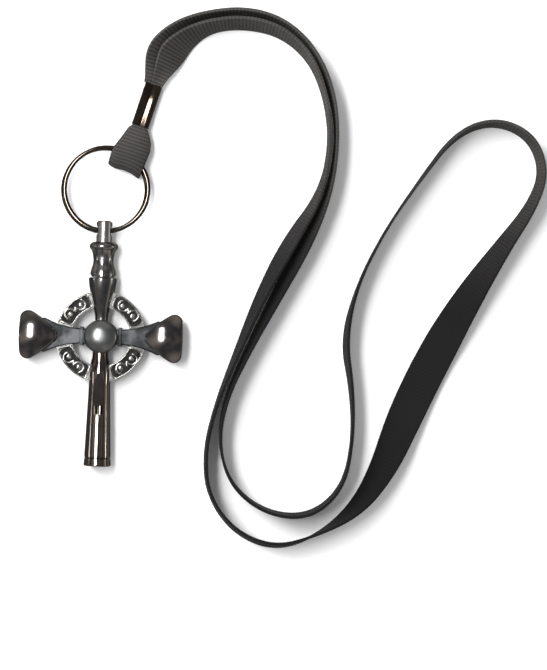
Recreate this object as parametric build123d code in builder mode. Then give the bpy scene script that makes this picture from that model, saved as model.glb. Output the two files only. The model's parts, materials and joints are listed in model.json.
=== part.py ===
from build123d import *
import math
import os

# Adjustable training whistle in the shape of a ringed cross, with its split ring and neck strap.
# Millimetres. It lies on its back on a table: +Y runs along it towards the ring, +Z is up.
# Stations along the whistle are measured from the centre of its hub, + towards the ring.

os.makedirs("parts", exist_ok=True)

# Driving dimensions
axis_height = 5.0
running_gap = 0.1

# Tuner: stem, knob, collar and screw
stem_radius = 2.7
stem_top = 39.2
stem_round = 0.5
stem_hole_station = 35.7
stem_hole_radius = 1.9
spigot_length = 1.8
knob_top = 32.0
knob_bottom = 20.75
flange_radius = 4.875
flange_depth = 2.7
flange_crown = 0.6
knob_edge = 0.4
knob_top_radius = 3.575
knob_foot_radius = 4.35
knob_waist = [(22.3, 4.2), (24.5, 3.55), (26.8, 3.5), (28.6, 3.95)]
collar_radius = 4.0
collar_depth = 0.6
collar_round = 0.2
thread_radius = 1.5
thread_pitch = 0.5
thread_depth = 0.15
thread_bottom = 8.0
neck_radius = 1.0
journal_radius = 0.7

# Piston, at the bottom of its travel
piston_face = -18.5
piston_length = 4.0
piston_wall = 1.0
seal_section = 0.9
seal_round = 0.15

# Barrel, hub and arms
root_reach = 4.0
barrel_top = 20.0
barrel_radius = 4.8
barrel_edge = 0.3
barrel_root_radius = 2.2
barrel_profile = [(7.2, 2.3), (9.9, 2.9), (14.9, 4.1)]
bore_step = 5.0
bush_radius = 2.6
bush_bottom = 12.0
hub_core_radius = 5.3
hub_core_half = 1.9
dome_radius = 5.7
dome_skirt = 2.2
dome_shoulder = (4.56, 3.85)
arm_half_width = 2.6
arm_middle = (13.0, 3.45)
arm_flare_half_width = 5.8
arm_flare_reach = 19.2
arm_reach = 22.0
arm_end_half_width = 5.2
arm_half_thickness = 2.1
arm_chamfer = 0.35
collar_strip_reach = 5.9
collar_strip_width = 1.2
collar_strip_lip = 0.3
collar_strip_chamfer = 0.15

# Halo
halo_outer_radius = 15.4
halo_inner_radius = 10.0
halo_half_thickness = 1.6
halo_rim = 0.45
halo_recess = 0.5
panel_half_angle = 25.0
panel_corner = 1.2
boss_radius = 1.05
boss_angle = 11.0
boss_reach = 12.7
boss_height = 0.25
boss_rounding = 0.6

# End caps
cap_tip_reach = 13.7
cap_corner_reach = 27.0
cap_corner_height = 9.8
cap_side = (19.6, 5.3)
cap_reach = 27.7
cap_corner_radius = 2.7
cap_dome_reach = 22.5
cap_dome_radius = 16.0
cap_edge_radius = 0.8

# Tube, fipple and mouthpiece
chamber_radius = 2.2
chamber_top = -6.0
tube_bottom = -29.8
tube_bottom_radius = 4.1
tube_profile = [(-7.0, 2.8), (-10.2, 3.5), (-16.4, 3.65)]
window_top = -23.5
window_bottom = -26.5
window_width = 3.0
lip_top = -12.5
lip_top_radius = 3.65
socket_radius = 3.2
socket_depth = 3.2
blow_radius = 3.0
blow_depth = 7.9
mouth_end = -43.9
mouth_radius = 4.65
mouth_edge = 0.4
groove_station = -41.1
groove_depth = 0.3
groove_radius = 4.5
windway_floor = 1.5

# Split ring
ring_mean_radius = 14.15
ring_width = 1.9
coil_thickness = 1.03
coil_pitch = 1.1
coil_edge_radius = 0.3
ramp_start = 200.0
ramp_angle = 24.0
ring_tilt = 3.0

# Neck strap, its loop round the ring and the crimp
strap_width = 12.5
strap_thickness = 1.0
strap_clearance = 0.2
loop_angle = 56.0
loop_lean = 16.5
loop_half_width = 5.9
loop_fold = -4.1
loop_inner_half = 1.4
loop_wall = 0.8
loop_closing = 2.2
loop_taper = (6.5, 4.6)
loop_slit_end = 9.1
crimp_start = 10.6
crimp_length = 14.4
crimp_width = 6.3
crimp_height = 4.4
crimp_wall = 0.6
crimp_corner = 1.6

# The origin is under the middle of the whistle and its ring, on the table.
tilt = math.radians(ring_tilt)
ring_far_station = stem_hole_station + ring_mean_radius * math.cos(tilt) * 2 + ring_width / 2
hub_y = -(ring_far_station + mouth_end) / 2

hub = Vector(0, hub_y, axis_height)
whistle_axis = Axis(hub, (0, 1, 0))
hub_axis = Axis(hub, (0, 0, 1))
level = Plane(origin=hub)
axial = Plane(origin=hub, x_dir=(0, 1, 0), z_dir=(1, 0, 0))
hub_section = Plane(origin=hub, x_dir=(1, 0, 0), z_dir=(0, -1, 0))

# Ring stem: a stud with a rounded top and a cross hole for the ring.
with BuildPart() as ring_stem:
    with BuildSketch(axial):
        with BuildLine():
            Polyline(
                (knob_top - spigot_length, 0),
                (knob_top - spigot_length, thread_radius),
                (knob_top, thread_radius),
                (knob_top, stem_radius),
                (stem_top - stem_round, stem_radius),
            )
            RadiusArc(
                (stem_top - stem_round, stem_radius),
                (stem_top, stem_radius - stem_round),
                -stem_round,
            )
            Polyline((stem_top, stem_radius - stem_round), (stem_top, 0), (knob_top - spigot_length, 0))
        make_face()
    revolve(axis=whistle_axis)
    with BuildSketch(Plane.YZ):
        with Locations((hub_y + stem_hole_station, axis_height)):
            Circle(stem_hole_radius)
    extrude(amount=stem_radius * 2, both=True, mode=Mode.SUBTRACT)
ring_stem.part.label = "ring_stem"
export_step(ring_stem.part, "parts/ring_stem.step")

# Tuning knob: a rounded flange over a waist that swells again at the foot.
crown_radius = flange_radius - flange_crown
flange_bottom = knob_top - flange_depth
with BuildPart() as tuning_knob:
    with BuildSketch(axial):
        with BuildLine():
            Line((knob_bottom, thread_radius), (knob_bottom, knob_foot_radius))
            Spline((knob_bottom, knob_foot_radius), *knob_waist, (flange_bottom, crown_radius))
            ThreePointArc(
                (flange_bottom, crown_radius),
                (flange_bottom + flange_depth / 2, flange_radius),
                (knob_top - knob_edge, crown_radius),
            )
            Polyline(
                (knob_top - knob_edge, crown_radius),
                (knob_top, knob_top_radius),
                (knob_top, thread_radius),
                (knob_bottom, thread_radius),
            )
        make_face()
    revolve(axis=whistle_axis)
tuning_knob.part.label = "tuning_knob"
export_step(tuning_knob.part, "parts/tuning_knob.step")

# Knob collar: a thin ring between the knob and the barrel.
with BuildPart() as knob_collar:
    with BuildSketch(axial):
        with Locations((knob_bottom - collar_depth / 2, (collar_radius + thread_radius) / 2)):
            Rectangle(collar_depth, collar_radius - thread_radius)
    revolve(axis=whistle_axis)
    fillet(knob_collar.edges().filter_by(GeomType.CIRCLE).group_by(SortBy.RADIUS)[-1], collar_round)
knob_collar.part.label = "knob_collar"
export_step(knob_collar.part, "parts/knob_collar.step")

# Tuning rod: threaded length, plain neck through the hub, and the piston's journal.
journal_end = piston_face + piston_wall + running_gap
journal_top = piston_face + piston_length + running_gap
thread_top = knob_bottom - collar_depth
rod_top = knob_top - spigot_length
thread_turns = int((thread_top - thread_bottom) / thread_pitch)
with BuildPart() as tuning_rod:
    with BuildSketch(axial):
        with BuildLine():
            outline = [(journal_end, 0), (journal_end, journal_radius)]
            outline += [(journal_top, journal_radius), (journal_top, neck_radius)]
            outline += [(thread_bottom - thread_radius, neck_radius)]
            for turn in range(thread_turns):
                crest = thread_bottom + turn * thread_pitch
                outline += [(crest, thread_radius)]
                outline += [(crest + thread_pitch / 2, thread_radius - thread_depth)]
            outline += [(thread_top, thread_radius), (rod_top, thread_radius)]
            Polyline(*outline, (rod_top, 0), close=True)
        make_face()
    revolve(axis=whistle_axis)
tuning_rod.part.label = "tuning_rod"
export_step(tuning_rod.part, "parts/tuning_rod.step")

# Piston: a plug with a groove for its seal and a blind hole for the rod's journal.
piston_radius = chamber_radius - running_gap
piston_back = piston_face + piston_length
seal_station = piston_face + piston_length / 2
with BuildPart() as piston:
    with BuildSketch(axial):
        with BuildLine():
            Polyline(
                (piston_face, 0),
                (piston_face, piston_radius),
                (seal_station - seal_section / 2, piston_radius),
                (seal_station - seal_section / 2, piston_radius - seal_section / 2),
                (seal_station + seal_section / 2, piston_radius - seal_section / 2),
                (seal_station + seal_section / 2, piston_radius),
                (piston_back, piston_radius),
                (piston_back, journal_radius + running_gap),
                (piston_face + piston_wall, journal_radius + running_gap),
                (piston_face + piston_wall, 0),
                close=True,
            )
        make_face()
    revolve(axis=whistle_axis)
piston.part.label = "piston"
export_step(piston.part, "parts/piston.step")

# Piston seal: a ring that stands a little proud of its groove.
seal_inner = piston_radius - seal_section / 2
seal_outer = chamber_radius - running_gap / 2
with BuildPart() as piston_seal:
    with BuildSketch(axial):
        with Locations((seal_station, (seal_inner + seal_outer) / 2)):
            RectangleRounded(seal_section, seal_outer - seal_inner, seal_round)
    revolve(axis=whistle_axis)
piston_seal.part.label = "piston_seal"
export_step(piston_seal.part, "parts/piston_seal.step")

# Hub core: the drilled disc that everything meets at.
neck_bore_radius = neck_radius + 2 * running_gap
with BuildPart() as hub_core:
    with BuildSketch(level):
        Circle(hub_core_radius)
    extrude(amount=hub_core_half, both=True)
    with BuildSketch(Plane.XZ.offset(-hub_y)):
        with Locations((0, axis_height)):
            Circle(neck_bore_radius)
    extrude(amount=dome_radius, both=True, mode=Mode.SUBTRACT)
hub_core.part.label = "hub_core"
export_step(hub_core.part, "parts/hub_core.step")

# Hub domes: one on each face of the core.
hub_domes = []
for face, side in (("front", 1), ("back", -1)):
    with BuildPart() as hub_dome:
        with BuildSketch(hub_section):
            with BuildLine():
                Polyline(
                    (0, side * axis_height),
                    (0, side * hub_core_half),
                    (dome_radius, side * hub_core_half),
                    (dome_radius, side * dome_skirt),
                )
                Spline(
                    (dome_radius, side * dome_skirt),
                    (dome_shoulder[0], side * dome_shoulder[1]),
                    (0, side * axis_height),
                    tangents=((0, side), (-1, 0)),
                )
            make_face()
        revolve(axis=hub_axis)
    hub_dome.part.label = f"hub_dome_{face}"
    export_step(hub_dome.part, f"parts/hub_dome_{face}.step")
    hub_domes.append(hub_dome.part)

# Upper barrel: flares from the hub to the knob, bored for the rod and counterbored for the bush.
thread_bore_radius = thread_radius + 2 * running_gap
with BuildPart() as upper_barrel:
    with BuildSketch(axial):
        with BuildLine():
            Line((root_reach, neck_bore_radius), (root_reach, barrel_root_radius))
            Spline(
                (root_reach, barrel_root_radius),
                *barrel_profile,
                (barrel_top - barrel_edge, barrel_radius),
            )
            Polyline(
                (barrel_top - barrel_edge, barrel_radius),
                (barrel_top, barrel_radius - barrel_edge),
                (barrel_top, bush_radius),
                (bush_bottom, bush_radius),
                (bush_bottom, thread_bore_radius),
                (bore_step, thread_bore_radius),
                (bore_step, neck_bore_radius),
                (root_reach, neck_bore_radius),
            )
        make_face()
    revolve(axis=whistle_axis)
    add(hub_core.part, mode=Mode.SUBTRACT)
    add(hub_domes, mode=Mode.SUBTRACT)
upper_barrel.part.label = "upper_barrel"
export_step(upper_barrel.part, "parts/upper_barrel.step")

# Barrel bush: the nut that the rod screws in.
bush_top = barrel_top - 2 * running_gap
bush_bore_radius = thread_radius + running_gap
with BuildPart() as barrel_bush:
    with BuildSketch(axial):
        with Locations(((bush_bottom + bush_top) / 2, (bush_radius + bush_bore_radius) / 2)):
            Rectangle(bush_top - bush_bottom, bush_radius - bush_bore_radius)
    revolve(axis=whistle_axis)
barrel_bush.part.label = "barrel_bush"
export_step(barrel_bush.part, "parts/barrel_bush.step")

# Whistle tube: the sounding chamber, with its window and the sloped lip above it.
with BuildPart() as whistle_tube:
    with BuildSketch(axial):
        with BuildLine():
            Line((-root_reach, neck_bore_radius), (-root_reach, stem_radius))
            Spline(
                (-root_reach, stem_radius),
                *tube_profile,
                tangents=((-1, 0), (-1, 0.03)),
            )
            Polyline(
                tube_profile[-1],
                (tube_bottom, tube_bottom_radius),
                (tube_bottom, socket_radius),
                (tube_bottom - socket_depth, socket_radius),
                (tube_bottom - socket_depth, chamber_radius),
                (chamber_top, chamber_radius),
                (chamber_top, neck_bore_radius),
                (-root_reach, neck_bore_radius),
            )
        make_face()
    revolve(axis=whistle_axis)
    add(hub_core.part, mode=Mode.SUBTRACT)
    add(hub_domes, mode=Mode.SUBTRACT)
    with BuildSketch(axial):
        with BuildLine():
            Polyline(
                (window_bottom, windway_floor),
                (window_top, windway_floor),
                (window_top, chamber_radius),
                (lip_top, lip_top_radius),
                (lip_top, mouth_radius),
                (window_bottom, mouth_radius),
                close=True,
            )
        make_face()
    extrude(amount=window_width / 2, both=True, mode=Mode.SUBTRACT)
whistle_tube.part.label = "whistle_tube"
export_step(whistle_tube.part, "parts/whistle_tube.step")

# Fipple block: fills the bore below the window, but for the windway over its flat.
block_end = mouth_end + blow_depth
with BuildPart() as fipple_block:
    with BuildSketch(Plane.XZ.offset(-hub_y - window_bottom)):
        with Locations((0, axis_height)):
            Circle(chamber_radius)
            with Locations((0, windway_floor + chamber_radius)):
                Rectangle(chamber_radius * 2, chamber_radius * 2, mode=Mode.SUBTRACT)
    extrude(amount=window_bottom - block_end)
fipple_block.part.label = "fipple_block"
export_step(fipple_block.part, "parts/fipple_block.step")

# Mouthpiece: flared end over the tube's spigot, with a fine groove and the blow hole.
with BuildPart() as mouthpiece:
    with BuildSketch(axial):
        with BuildLine():
            Polyline(
                (tube_bottom, socket_radius),
                (tube_bottom, tube_bottom_radius),
                (groove_station + groove_depth, groove_radius),
                (groove_station, groove_radius - groove_depth),
                (groove_station - groove_depth, groove_radius),
                (mouth_end + mouth_edge, mouth_radius),
                (mouth_end, mouth_radius - mouth_edge),
                (mouth_end, blow_radius),
                (block_end, blow_radius),
                (block_end, chamber_radius),
                (tube_bottom - socket_depth, chamber_radius),
                (tube_bottom - socket_depth, socket_radius),
                close=True,
            )
        make_face()
    revolve(axis=whistle_axis)
mouthpiece.part.label = "mouthpiece"
export_step(mouthpiece.part, "parts/mouthpiece.step")

# Arms: flared blades with a collar strip at the hub end and a two-shell cap on the far end.
arms = []
for name, side in (("left", -1), ("right", 1)):
    with BuildPart() as arm:
        with BuildSketch(level):
            with BuildLine():
                for edge in (-1, 1):
                    ThreePointArc(
                        (side * root_reach, edge * arm_half_width),
                        (side * arm_middle[0], edge * arm_middle[1]),
                        (side * arm_flare_reach, edge * arm_flare_half_width),
                    )
                    Line(
                        (side * arm_flare_reach, edge * arm_flare_half_width),
                        (side * arm_reach, edge * arm_end_half_width),
                    )
                for reach, half in ((root_reach, arm_half_width), (arm_reach, arm_end_half_width)):
                    Line((side * reach, -half), (side * reach, half))
            make_face()
        extrude(amount=arm_half_thickness, both=True)
        chamfer(arm.faces().filter_by(Axis.Z).edges(), arm_chamfer)
        add(hub_core.part, mode=Mode.SUBTRACT)
        add(hub_domes, mode=Mode.SUBTRACT)
    arm.part.label = f"{name}_arm"
    export_step(arm.part, f"parts/{name}_arm.step")
    arms.append(arm.part)

    with BuildPart() as arm_collar:
        with BuildSketch(level):
            with Locations((side * (collar_strip_reach + collar_strip_width / 2), 0)):
                Rectangle(collar_strip_width, 2 * (arm_half_width + 2 * collar_strip_lip))
        extrude(amount=arm_half_thickness + collar_strip_lip, both=True)
        chamfer(arm_collar.edges().filter_by(Axis.Y), collar_strip_chamfer)
        add(arm.part, mode=Mode.SUBTRACT)
    arm_collar.part.label = f"{name}_arm_collar"
    export_step(arm_collar.part, f"parts/{name}_arm_collar.step")

    for face, half in (("front", 1), ("back", -1)):
        with BuildPart() as cap:
            with BuildSketch(level):
                with BuildLine():
                    ThreePointArc(
                        (side * cap_corner_reach, cap_corner_height),
                        (side * cap_reach, 0),
                        (side * cap_corner_reach, -cap_corner_height),
                    )
                    for edge in (-1, 1):
                        ThreePointArc(
                            (side * cap_corner_reach, edge * cap_corner_height),
                            (side * cap_side[0], edge * cap_side[1]),
                            (side * cap_tip_reach, 0),
                        )
                outline = make_face()
                fillet(outline.vertices(), cap_corner_radius)
            extrude(amount=half * axis_height)
            dome_middle = axis_height + half * (axis_height - cap_dome_radius)
            with Locations((side * cap_dome_reach, hub_y, dome_middle)):
                Sphere(cap_dome_radius, mode=Mode.INTERSECT)
            fillet(cap.faces().filter_by(GeomType.SPHERE).edges(), cap_edge_radius)
            add(arm.part, mode=Mode.SUBTRACT)
        cap.part.label = f"{name}_cap_{face}"
        export_step(cap.part, f"parts/{name}_cap_{face}.step")

# Halo quarters: a sunk panel on each face, with the two bosses that the scrolls end on.
for name, x_side, y_side in (
    ("upper_left", -1, 1),
    ("upper_right", 1, 1),
    ("lower_left", -1, -1),
    ("lower_right", 1, -1),
):
    quarter_middle = (x_side * (stem_radius + halo_outer_radius / 2), y_side * halo_outer_radius / 2)
    quarter_angle = math.degrees(math.atan2(y_side, x_side))
    panel_corners = []
    for turn in (-panel_half_angle, panel_half_angle):
        direction = math.radians(quarter_angle + turn)
        corner = (2 * halo_outer_radius * math.cos(direction), 2 * halo_outer_radius * math.sin(direction))
        panel_corners.append(corner)
    with BuildPart() as halo:
        with BuildSketch(level):
            Circle(halo_outer_radius)
            Circle(halo_inner_radius, mode=Mode.SUBTRACT)
            with Locations(quarter_middle):
                Rectangle(halo_outer_radius, halo_outer_radius, mode=Mode.INTERSECT)
        extrude(amount=halo_half_thickness, both=True)
        for face in (-1, 1):
            with BuildSketch(level.offset(face * halo_half_thickness)) as panel:
                Circle(halo_outer_radius - halo_rim)
                Circle(halo_inner_radius + halo_rim, mode=Mode.SUBTRACT)
                with BuildLine():
                    Polyline((0, 0), *panel_corners, close=True)
                make_face(mode=Mode.INTERSECT)
                fillet(panel.vertices(), panel_corner)
            extrude(amount=-face * halo_recess, mode=Mode.SUBTRACT)
            with BuildSketch(level.offset(face * (halo_half_thickness - halo_recess))):
                for turn in (-boss_angle, boss_angle):
                    with PolarLocations(boss_reach, 1, quarter_angle + turn):
                        Circle(boss_radius)
            extrude(amount=face * (halo_recess + boss_height))
            fillet(halo.faces().sort_by(Axis.Z, reverse=face > 0)[:2].edges(), boss_rounding)
        for neighbour in (*arms, upper_barrel.part, whistle_tube.part):
            add(neighbour, mode=Mode.SUBTRACT)
    halo.part.label = f"halo_{name}"
    export_step(halo.part, f"parts/halo_{name}.step")

# Split ring: two flat turns joined by a short ramp, through the stem, tipped down at its far side.
ring_centre = Vector(
    0,
    hub_y + stem_hole_station + ring_mean_radius * math.cos(tilt),
    axis_height - ring_mean_radius * math.sin(tilt),
)
ring_plane = Plane(origin=ring_centre, x_dir=(1, 0, 0), z_dir=(0, math.sin(tilt), math.cos(tilt)))
ring_axis = Axis(ring_centre, ring_plane.z_dir)


def ring_direction(angle):
    """The unit vector in the ring's plane at an angle in degrees from +X."""
    turn = math.radians(angle)
    return ring_plane.x_dir * math.cos(turn) + ring_plane.y_dir * math.sin(turn)


def ring_section(angle):
    """The plane through the ring's axis at an angle: x points outwards and y along the axis."""
    return Plane(origin=ring_centre, x_dir=ring_direction(angle), z_dir=ring_direction(angle - 90))


with BuildPart() as split_ring:
    for height in (-coil_pitch / 2, coil_pitch / 2):
        with BuildSketch(ring_section(ramp_start + ramp_angle)):
            with Locations((ring_mean_radius, height)):
                RectangleRounded(ring_width, coil_thickness, coil_edge_radius)
        revolve(axis=ring_axis, revolution_arc=360 - ramp_angle)
    ramp_sections = []
    for part_way in (0, 0.25, 0.5, 0.75, 1):
        ramp_height = -coil_pitch / 2 * math.cos(math.pi * part_way)
        with BuildSketch(ring_section(ramp_start + ramp_angle * part_way)) as ramp_section:
            with Locations((ring_mean_radius, ramp_height)):
                RectangleRounded(ring_width, coil_thickness, coil_edge_radius)
        ramp_sections.append(ramp_section.sketch)
    loft(ramp_sections)
split_ring.part.label = "split_ring"
export_step(split_ring.part, "parts/split_ring.step")

# Strap loop: folds round the ring and closes into the crimp, where its tail is packed.
# Its own plane lies in the ring's, turned so that x runs from the fold to the crimp.
loop_origin = ring_centre + ring_direction(loop_angle) * ring_mean_radius
loop_plane = Plane(origin=loop_origin, x_dir=ring_direction(90 - loop_lean), z_dir=ring_plane.z_dir)
loop_section = Plane(origin=loop_origin, x_dir=loop_plane.x_dir, z_dir=-loop_plane.y_dir)
loop_outer_half = loop_inner_half + loop_wall
loop_tip = loop_fold - 2 * loop_outer_half
tail_half_height = crimp_height / 2 - crimp_wall
tail_half_width = crimp_width / 2 - crimp_wall
crimp_end = crimp_start + crimp_length
with BuildPart() as strap_bight:
    with BuildSketch(loop_section):
        with BuildLine():
            ThreePointArc(
                (loop_fold, loop_outer_half),
                (loop_fold - loop_outer_half, 0),
                (loop_fold, -loop_outer_half),
            )
            Polyline(
                (loop_fold, -loop_outer_half),
                (loop_closing, -loop_outer_half),
                (crimp_start, -tail_half_height),
                (crimp_end, -tail_half_height),
                (crimp_end, tail_half_height),
                (crimp_start, tail_half_height),
                (loop_closing, loop_outer_half),
                (loop_fold, loop_outer_half),
            )
        make_face()
        with BuildLine():
            ThreePointArc(
                (loop_fold, loop_inner_half),
                (loop_fold - loop_inner_half, 0),
                (loop_fold, -loop_inner_half),
            )
            Polyline(
                (loop_fold, -loop_inner_half),
                (loop_closing, -loop_inner_half),
                (loop_slit_end, 0),
                (loop_closing, loop_inner_half),
                (loop_fold, loop_inner_half),
            )
        make_face(mode=Mode.SUBTRACT)
    extrude(amount=loop_half_width, both=True)
    with BuildSketch(loop_plane):
        with BuildLine():
            for edge in (-1, 1):
                Line((loop_tip, edge * loop_half_width), (loop_closing, edge * loop_half_width))
                Spline(
                    (loop_closing, edge * loop_half_width),
                    (loop_taper[0], edge * loop_taper[1]),
                    (crimp_start, edge * tail_half_width),
                    tangents=((1, 0), (1, 0)),
                )
                Line((crimp_start, edge * tail_half_width), (crimp_end, edge * tail_half_width))
            for reach, half in ((loop_tip, loop_half_width), (crimp_end, tail_half_width)):
                Line((reach, -half), (reach, half))
        make_face()
    extrude(amount=crimp_height, both=True, mode=Mode.INTERSECT)
strap_bight.part.label = "strap_bight"
export_step(strap_bight.part, "parts/strap_bight.step")

# Crimp: a rolled ferrule round the packed tail.
crimp_origin = loop_plane.from_local_coords((crimp_start, 0, 0))
crimp_plane = Plane(origin=crimp_origin, x_dir=loop_plane.y_dir, z_dir=loop_plane.x_dir)
with BuildPart() as crimp:
    with BuildSketch(crimp_plane):
        RectangleRounded(crimp_width, crimp_height, crimp_corner)
        Rectangle(2 * tail_half_width, 2 * tail_half_height, mode=Mode.SUBTRACT)
    extrude(amount=crimp_length)
crimp.part.label = "crimp"
export_step(crimp.part, "parts/crimp.step")

# Neck strap: a band on edge, from one side of the crimp's end, round both loops, to the other side.
# The points are where its straight runs would meet. Each corner is rounded as far as its runs allow.
strap_route = [
    (16.0, 85.6), (19.2, 93.9), (24.6, 101.1), (33.6, 106.4), (46.0, 107.9), (58.4, 105.0),
    (68.3, 96.2), (73.7, 83.1), (75.7, 68.0), (73.2, 50.9), (62.6, 33.4), (53.7, 15.5),
    (45.7, -5.3), (39.4, -22.4), (36.2, -38.4), (38.0, -53.0), (47.2, -64.8), (61.4, -70.0),
    (76.0, -64.6), (88.8, -55.2), (97.2, -41.4), (103.4, -24.6), (112.2, -5.0), (122.8, 15.3),
    (134.6, 34.2), (144.2, 48.2), (148.3, 60.4), (143.4, 72.4), (130.8, 77.4), (117.6, 72.2),
    (106.2, 56.3), (94.4, 38.0), (85.7, 19.0), (82.2, 1.0), (85.4, -15.0), (86.4, -31.8),
    (83.6, -48.6), (72.8, -58.8), (58.0, -58.2), (45.6, -49.4), (40.9, -35.4), (42.6, -20.2),
    (49.7, -3.5), (59.2, 15.9), (68.2, 34.1), (75.9, 51.5), (78.1, 69.0), (76.0, 84.2),
    (69.5, 98.3), (58.8, 107.9), (46.0, 111.3), (32.8, 109.7), (22.3, 103.9), (15.6, 95.2),
    (13.8, 86.3),
]
route = [Vector(x, y + hub_y, strap_clearance + strap_width / 2) for x, y in strap_route]
strap_radii = []
for before, corner, after in zip(route, route[1:], route[2:]):
    shorter = min((corner - before).length, (after - corner).length)
    turn = math.radians((corner - before).get_angle(after - corner))
    strap_radii.append(0.45 * shorter / math.tan(turn / 2))
print("strap radii", [round(radius, 1) for radius in strap_radii])

with BuildPart() as neck_strap:
    with BuildLine() as strap_path:
        FilletPolyline(*route, radius=strap_radii)
    strap_start = Plane(origin=strap_path.line @ 0, x_dir=(0, 0, 1), z_dir=strap_path.line % 0)
    with BuildSketch(strap_start):
        Rectangle(strap_width, strap_thickness)
    sweep()
neck_strap.part.label = "neck_strap"
export_step(neck_strap.part, "parts/neck_strap.step")
strap_length = strap_path.wires()[0].length
plain_volume = strap_width * strap_thickness * strap_length
print("strap length", round(strap_length, 1))
print("strap volume over plain volume", round(neck_strap.part.volume / plain_volume, 3))
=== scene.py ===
"""Looks of an adjustable training whistle with its split ring and neck strap.

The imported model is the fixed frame. Sizes are metres in its axes: +Y runs along the whistle
towards the ring, +Z is up, and the table is at z = 0.
"""

import json
import logging
import math
from dataclasses import dataclass, field
from enum import Enum

import bpy
from mathutils import Euler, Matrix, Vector

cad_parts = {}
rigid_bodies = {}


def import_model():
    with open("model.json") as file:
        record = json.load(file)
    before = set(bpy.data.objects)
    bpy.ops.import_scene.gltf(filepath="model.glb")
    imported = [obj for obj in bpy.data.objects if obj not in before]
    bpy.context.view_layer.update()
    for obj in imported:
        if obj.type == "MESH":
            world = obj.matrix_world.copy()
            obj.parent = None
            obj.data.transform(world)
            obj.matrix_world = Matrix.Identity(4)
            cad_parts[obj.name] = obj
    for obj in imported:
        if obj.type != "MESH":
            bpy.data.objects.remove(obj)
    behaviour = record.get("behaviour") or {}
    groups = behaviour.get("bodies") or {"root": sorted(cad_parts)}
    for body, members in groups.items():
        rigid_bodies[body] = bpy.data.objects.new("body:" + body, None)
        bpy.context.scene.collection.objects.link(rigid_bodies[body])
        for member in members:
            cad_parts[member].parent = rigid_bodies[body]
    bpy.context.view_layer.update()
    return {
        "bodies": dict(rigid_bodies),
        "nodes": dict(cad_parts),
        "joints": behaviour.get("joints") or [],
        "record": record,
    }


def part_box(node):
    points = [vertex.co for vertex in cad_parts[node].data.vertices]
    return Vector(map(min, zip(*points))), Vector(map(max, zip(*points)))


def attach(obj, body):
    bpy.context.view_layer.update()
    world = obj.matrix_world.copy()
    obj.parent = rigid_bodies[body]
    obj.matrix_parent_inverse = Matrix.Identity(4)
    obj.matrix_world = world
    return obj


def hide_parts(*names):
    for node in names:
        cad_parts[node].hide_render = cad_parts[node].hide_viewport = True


log = logging.getLogger("whistle")

Colour = tuple[float, float, float]
Point = tuple[float, float, float]

MM = 0.001
STRAP_WIDTH = 12.4 * MM
STRAP_THICKNESS = 0.95 * MM
RING_RADIUS = 14.15 * MM
RING_TILT = math.radians(3.0)
LOOP_ANGLE = math.radians(56.0)
RIB_PITCH = 1.2 * MM
RIB_DEPTH = 0.035 * MM


class Face(Enum):
    """The two faces of the whistle, by the sign of their normal's z."""

    FRONT = 1
    BACK = -1


# ---------------------------------------------------------------- shader building


class Value:
    """A node's socket that takes Python's operators, each of them a Math node."""

    def __init__(self, nodes: "Nodes", socket: bpy.types.NodeSocket) -> None:
        """Keeps the socket and the tree that it belongs to."""
        self.nodes = nodes
        self.socket = socket

    def maths(self, operation: str, *others: "Value | float") -> "Value":
        """Adds a Math node fed by this value and the others.

        Args:
            operation: The Math node's operation.
            others: Its remaining inputs, values or numbers.

        Returns:
            The node's output.
        """
        inputs = dict(enumerate((self, *others)))
        return self.nodes.value("ShaderNodeMath", {"operation": operation}, inputs)

    def __add__(self, other: "Value | float") -> "Value":
        """Adds."""
        return self.maths("ADD", other)

    __radd__ = __add__

    def __sub__(self, other: "Value | float") -> "Value":
        """Subtracts."""
        return self.maths("SUBTRACT", other)

    def __rsub__(self, other: float) -> "Value":
        """Subtracts this value from a number."""
        return self * -1.0 + other

    def __mul__(self, other: "Value | float") -> "Value":
        """Multiplies."""
        return self.maths("MULTIPLY", other)

    __rmul__ = __mul__

    def __abs__(self) -> "Value":
        """The size without its sign."""
        return self.maths("ABSOLUTE")

    def sine(self) -> "Value":
        """The sine, in radians."""
        return self.maths("SINE")

    def between(self, low: float, high: float) -> "Value":
        """Makes a smooth step.

        Args:
            low: Where the step starts, at 0.
            high: Where it ends, at 1.

        Returns:
            The step.
        """
        settings = {"interpolation_type": "SMOOTHSTEP"}
        inputs = {"Value": self, "From Min": low, "From Max": high}
        return self.nodes.value("ShaderNodeMapRange", settings, inputs)


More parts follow.
